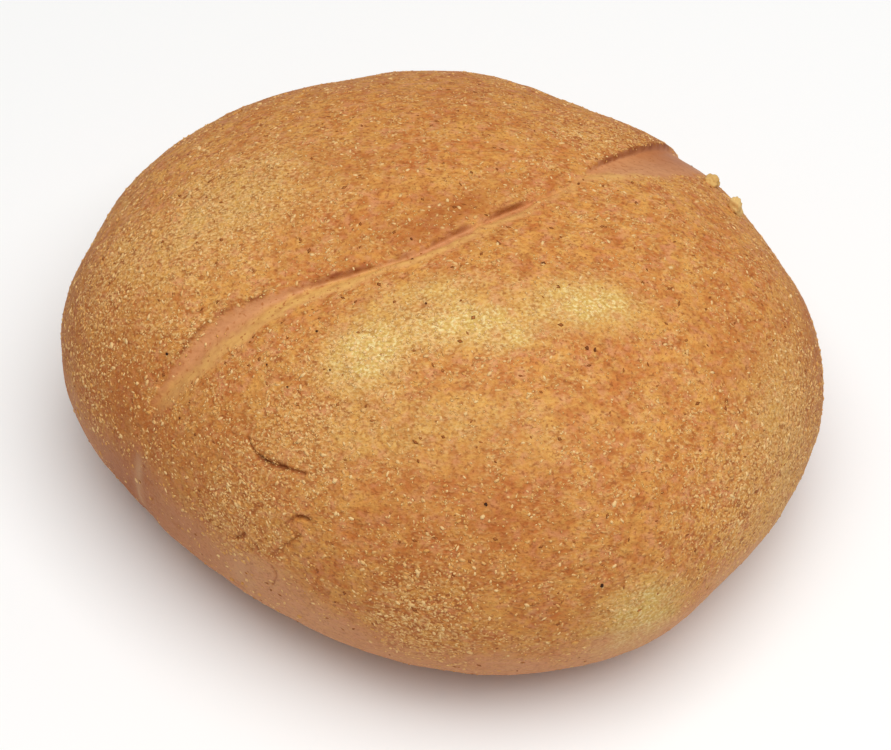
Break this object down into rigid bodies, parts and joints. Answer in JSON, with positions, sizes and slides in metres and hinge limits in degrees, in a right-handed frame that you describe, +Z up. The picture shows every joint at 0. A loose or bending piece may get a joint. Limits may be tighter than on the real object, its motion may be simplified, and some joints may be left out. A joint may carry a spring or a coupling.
{
  "type": "bread roll",
  "caption": "Oval crusty bread roll dusted with semolina, with a slash opened along its crown and a flat baked base.",
  "frame": {"origin": "middle of the roll's outline seen from above, on the surface that it rests on", "axes": "+X along the roll's length, +Y across it, +Z up; the slash starts low on the -X -Y side and ends low on the +X +Y side"},
  "size_m": [0.1164, 0.1064, 0.0518],
  "materials": {
    "crust": "golden-brown baked crust, matt, dusted with pale semolina"
  },
  "bodies": {
    "root": {"bread_roll": "crust"}
  },
  "joints": []
}
